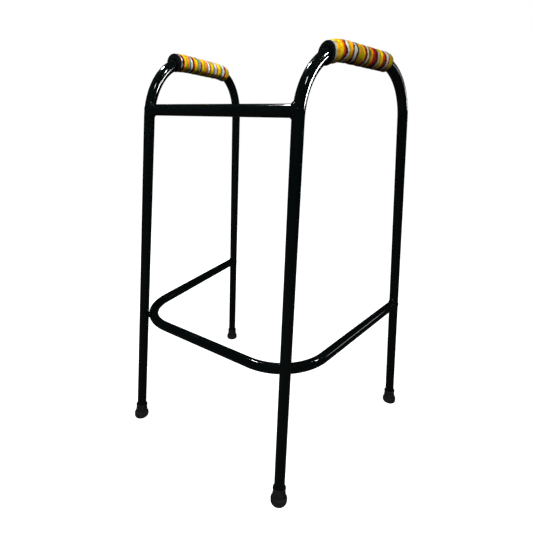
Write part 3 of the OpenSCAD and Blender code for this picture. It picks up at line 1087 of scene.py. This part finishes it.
def round_grip(side, along, radius, angle):
    """Surface round the handle whose outer side rides up on the bend, while its bore doesn't."""
    s = sizes("walker_grips")
    place = straight_cut(along, radius, angle)
    share = np.clip((radius - s.bore_r) / (s.foam_r - s.bore_r), 0, 1)
    front = grip_ends(side)[0]
    lift = getattr(s, f"{side}_lift") * (np.minimum(place, 0) / front) ** 2 * share
    rise = handle_frames(place)[1]
    return round_handle(place, radius + 0 * place, angle) + lift[..., None] * rise


def foam_profile(side):
    """Closed outline of the foam, as place along the handle and radius: bare rim with a ringed
    end face, step under the cloth, plain body and bore."""
    s = sizes("walker_grips")
    front, rim_end, rear = grip_ends(side)
    edge, step, chamfer = 1.3 * MM, 0.3 * MM, 0.6 * MM
    ring_r, ring_width, ring_depth = 15.2 * MM, 0.7 * MM, 0.4 * MM
    dish_r, dish_width, dish_depth = 15 * MM, 4 * MM, 0.8 * MM
    face = np.linspace(s.rim_r - edge, s.bore_r + chamfer, 40)[:, None]
    ring = ring_depth * np.exp(-(((face - ring_r) / ring_width) ** 2))
    dish = dish_depth * smooth((dish_r - face) / dish_width)
    return np.vstack([
        stretch((rear, s.bore_r), (front + chamfer, s.bore_r), 90),
        np.hstack([front + ring + dish, face])[::-1],
        arc((front + edge, s.rim_r - edge), edge, 180, 90, 9)[1:],
        stretch((front + 1.1 * edge, s.rim_r), (rim_end - step, s.rim_r), 4),
        arc((rim_end - step, s.rim_r - step), step, 90, 0, 4),
        stretch((rim_end, s.rim_r - 2 * step), (rim_end, s.foam_r), 4),
        stretch((rim_end, s.foam_r), (rear, s.foam_r), 200),
        stretch((rear, s.foam_r), (rear, s.bore_r), 4),
    ])


def foam_surface(side):
    """The foam's outline carried round the handle, with a slightly uneven bare rim."""
    profile = foam_profile(side)
    angle = np.linspace(0, TURN, 112, endpoint=False)[None, :]
    along = profile[:, :1] + 0 * angle
    bare_r, bare_fade, dent_depth = 17 * MM, 1.2 * MM, 0.14 * MM
    bare = smooth((profile[:, 1:] - bare_r) / bare_fade)
    dent = bare * dent_depth * (np.sin(3 * angle + 1) + 0.6 * np.sin(5 * angle + 2))
    return round_grip(side, along, profile[:, 1:] + dent, angle)


class WALKER_OT_fit_foam(bpy.types.Operator):
    """Fit a foam sleeve on each handle, with its bare rim to the front"""

    bl_idname = "walker.fit_foam"
    bl_label = "Fit Foam"

    def execute(self, context):
        foam = cut_foam()
        for side, sign in SIDES.items():
            piece = solid_piece(f"{side}_foam_sleeve", foam_surface(side), foam,
                                mirrored=sign < 0)
            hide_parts(f"{side}_foam_grip")
        return {"FINISHED"}


def cover_profile(side):
    """Closed outline of a cover: rolled front edge, outer face, rounded rear end turned in to
    the tube, and back along the inner face. Also the cloth's own length at each point, and how
    many of the points are on the outer face."""
    s = sizes("walker_grips")
    _, start, rear = grip_ends(side)
    inner = s.foam_r + s.slip_gap
    outer = inner + s.cloth_t
    start = start + s.slip_gap
    roll, shoulder = s.cloth_t / 2, 4.5 * MM
    end = rear + s.slip_gap + s.cloth_t
    out = np.vstack([
        arc((start + roll, inner + roll), roll, 180, 90, 7),
        stretch((start + 1.2 * roll, outer), (end - shoulder, outer), 340),
        arc((end - shoulder, outer - shoulder), shoulder, 90, 0, 22),
        stretch((end, outer - 1.06 * shoulder), (end, s.bore_r + roll), 10),
    ])
    back = np.vstack([
        arc((end - roll, s.bore_r + roll), roll, 0, -180, 7),
        stretch((end - s.cloth_t, s.bore_r + roll), (end - s.cloth_t, inner - 0.2 * MM), 6),
        stretch((end - s.cloth_t, inner), (start + roll, inner), 100),
    ])
    steps = np.linalg.norm(np.diff(out, axis=0), axis=1)
    travelled = np.concatenate([[0], np.cumsum(steps)])
    under = np.interp(back[:, 0], [start, end], [0, travelled[-1]])
    return np.vstack([out, back]), np.concatenate([travelled, under]), len(out)


def folds(along, angle, seed):
    """Small uneven folds: a few waves of seeded pitch, slant and phase added together."""
    random = np.random.default_rng(seed)
    total = np.zeros(np.broadcast(along, angle).shape)
    for _ in range(9):
        pitch = random.uniform(8, 30) * MM
        turns = random.integers(-2, 3)
        phase = random.uniform(0, TURN)
        total = total + np.sin(TURN * along / pitch + turns * angle + phase)
    return total / 3


def cover_surface(side):
    """A cover carried round the handle: fatter at the front, puckered all over, pleated where it
    turns in at the rear, and lapped along a seam underneath."""
    s = sizes("walker_grips")
    front, _, rear = grip_ends(side)
    profile, cloth_length, outer_rows = cover_profile(side)
    angle = np.linspace(0, TURN, 168, endpoint=False)[None, :]
    along, radius = profile[:, :1] + 0 * angle, profile[:, 1:]
    outside = (np.arange(len(profile))[:, None] < outer_rows).astype(float)
    turned_r, turned_width = 13.5 * MM, 3 * MM
    swell_place, swell_width = 14 * MM, 24 * MM
    hem_length, pleat_length = 6 * MM, 14 * MM
    lap_place, lap_height = math.radians(235), 0.55 * MM
    on_body = smooth((radius - turned_r) / turned_width)
    from_front = along - front
    swell = s.front_swell * np.exp(-(((from_front - swell_place) / swell_width) ** 2))
    pucker = s.pucker * folds(along, angle, 5 if side == "left" else 8)
    hem = smooth(from_front / hem_length)
    near_end = smooth((along - rear + pleat_length) / pleat_length)
    pleat = s.pleat * near_end * np.sin(s.pleats * angle + 0.7 * np.sin(2 * angle))
    seam = np.angle(np.exp(1j * (angle - lap_place)))
    lap = lap_height * smooth((seam + 0.05) / 0.05) * smooth((0.55 - seam) / 0.5)
    lift = swell + (pucker * hem - 0.5 * np.abs(pleat) + lap) * outside
    radius = radius + lift * on_body
    turned_in = outside * (1 - on_body) * smooth((radius - 12 * MM) / MM)
    ways = np.clip(cloth_length / cloth_length[:outer_rows].max(), 0, 1)
    return round_grip(side, along + 0.5 * pleat * turned_in, radius, angle), ways


class WALKER_OT_sew_covers(bpy.types.Operator):
    """Sew a striped cloth cover over each foam sleeve"""

    bl_idname = "walker.sew_covers"
    bl_label = "Sew Covers"

    def execute(self, context):
        s = sizes("walker_grips")
        for side, sign in SIDES.items():
            cloth = striped_cloth(side, waver=11.0 if side == "left" else 5.0)
            points, ways = cover_surface(side)
            piece = solid_piece(f"{side}_cloth_wrap", points, cloth,
                                mirrored=sign < 0, ways=ways)
            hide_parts(f"{side}_grip_cover")
            _, edge, rear = grip_ends(side)
        return {"FINISHED"}


def add_lamp(name, place, target, size, power, spread):
    """A rectangular soft light that faces its target, with a beam of that many degrees."""
    data = bpy.data.lights.new(name, "AREA")
    data.shape = "RECTANGLE"
    data.size, data.size_y = size
    data.energy = power
    data.spread = math.radians(spread)
    lamp = bpy.data.objects.new(name, data)
    lamp.location = place
    away = Vector(place) - Vector(target)
    lamp.rotation_euler = away.to_track_quat("Z", "Y").to_euler()
    bpy.context.scene.collection.objects.link(lamp)
    return lamp


class WALKER_OT_set_stage(bpy.types.Operator):
    """Set the camera, the soft lights, the bright surroundings and the pale floor"""

    bl_idname = "walker.set_stage"
    bl_label = "Set Stage"

    def execute(self, context):
        self.set_camera()
        self.set_lights()
        self.set_surroundings()
        self.lay_floor()
        return {"FINISHED"}

    def set_camera(self):
        """The camera looks along its heading and tilt, then leans by its roll."""
        s = sizes("walker_stage")
        look = Vector((-math.sin(s.heading) * math.cos(s.tilt),
                       math.cos(s.heading) * math.cos(s.tilt), -math.sin(s.tilt)))
        side = Vector((math.cos(s.heading), math.sin(s.heading), 0))
        down = look.cross(side)
        right = math.cos(s.roll) * side + math.sin(s.roll) * down
        up = math.sin(s.roll) * side - math.cos(s.roll) * down
        data = bpy.data.cameras.new("Camera")
        data.sensor_width = 36
        data.lens = data.sensor_width / 2 / math.tan(s.field / 2)
        data.clip_start, data.clip_end = 0.01, 100
        camera = bpy.data.objects.new("Camera", data)
        turned = Matrix((right, up, -look)).transposed().to_4x4()
        turned.translation = (s.camera_x, s.camera_y, s.camera_z)
        camera.matrix_world = turned
        bpy.context.scene.collection.objects.link(camera)
        bpy.context.scene.camera = camera

    def set_lights(self):
        """Panels that only show as streaks in gloss, and soft fills that don't show in it."""
        for name, heading, height, size, power, spread, target in PANELS:
            heading, height = math.radians(heading), math.radians(height)
            away = (math.sin(heading) * math.cos(height), math.cos(heading) * math.cos(height),
                    math.sin(height))
            place = [target[k] + PANEL_DISTANCE * away[k] for k in range(3)]
            lamp = add_lamp(name, place, target, size, power, spread)
            lamp.visible_diffuse = False
        for name, place, size, power, spread, target in FILLS:
            lamp = add_lamp(name, place, target, size, power, spread)
            lamp.visible_glossy = False

    def set_surroundings(self):
        """White to the camera, soft light to dull surfaces, and almost dark to glossy ones."""
        world = bpy.data.worlds.new("Surroundings")
        bpy.context.scene.world = world
        world.use_nodes = True
        tree = Tree(world.node_tree)
        back = world.node_tree.nodes["Background"]
        path = tree.node("ShaderNodeLightPath").outputs
        dim = tree.blend(path["Is Diffuse Ray"], (0.005, 0.008, 0.008, 1), (0.3, 0.31, 0.32, 1))
        seen = tree.blend(path["Is Camera Ray"], dim, (1, 1, 1, 1))
        tree.feed(seen, back.inputs[0])
        bpy.context.scene.view_settings.view_transform = "Standard"

    def lay_floor(self):
        """A wide flat disc just under the soles, on a grid of rings and spokes."""
        radius = np.array(FLOOR_RINGS)[:, None]
        angle = np.linspace(0, TURN, 64, endpoint=False)[None, :]
        flat = np.stack([radius * np.cos(angle), radius * np.sin(angle), 0 * radius * angle], -1)
        mesh = bpy.data.meshes.new("floor")
        faces = grid_faces(*flat.shape[:2], False).reshape(-1, 4)[:, ::-1]
        mesh.from_pydata(flat.reshape(-1, 3).tolist(), [], faces.tolist())
        merge_poles(mesh)
        mesh.materials.append(pale_floor())
        floor = bpy.data.objects.new("floor", mesh)
        bpy.context.scene.collection.objects.link(floor)


STEPS = (
    WALKER_OT_set_stage,
    WALKER_OT_paint_tubes,
    WALKER_OT_lay_end_beads,
    WALKER_OT_lay_corner_welds,
    WALKER_OT_mould_feet,
    WALKER_OT_plate_washers,
    WALKER_OT_fit_foam,
    WALKER_OT_sew_covers,
)


class WALKER_PT_looks(bpy.types.Panel):
    """Lists the sizes, the colours and the steps that finish the frame"""

    bl_idname = "WALKER_PT_looks"
    bl_label = "Walking Frame"
    bl_space_type = "VIEW_3D"
    bl_region_type = "UI"
    bl_category = "Walking Frame"

    def draw(self, context):
        for step in STEPS:
            self.layout.operator(step.bl_idname)
        for group in GROUPS:
            box = self.layout.box()
            values = getattr(context.scene, group)
            for name in values.bl_rna.properties.keys():
                if name not in ("rna_type", "name"):
                    box.prop(values, name)


def register():
    for cls in (*GROUPS.values(), *STEPS, WALKER_PT_looks):
        bpy.utils.register_class(cls)
    for name, group in GROUPS.items():
        setattr(bpy.types.Scene, name, bpy.props.PointerProperty(type=group))


def unregister():
    for name in GROUPS:
        delattr(bpy.types.Scene, name)
    for cls in reversed((*GROUPS.values(), *STEPS, WALKER_PT_looks)):
        bpy.utils.unregister_class(cls)


def main():
    """Runs every step in order."""
    register()
    for step in STEPS:
        category, name = step.bl_idname.split(".")
        getattr(getattr(bpy.ops, category), name)()


if __name__ == "__main__":
    main()
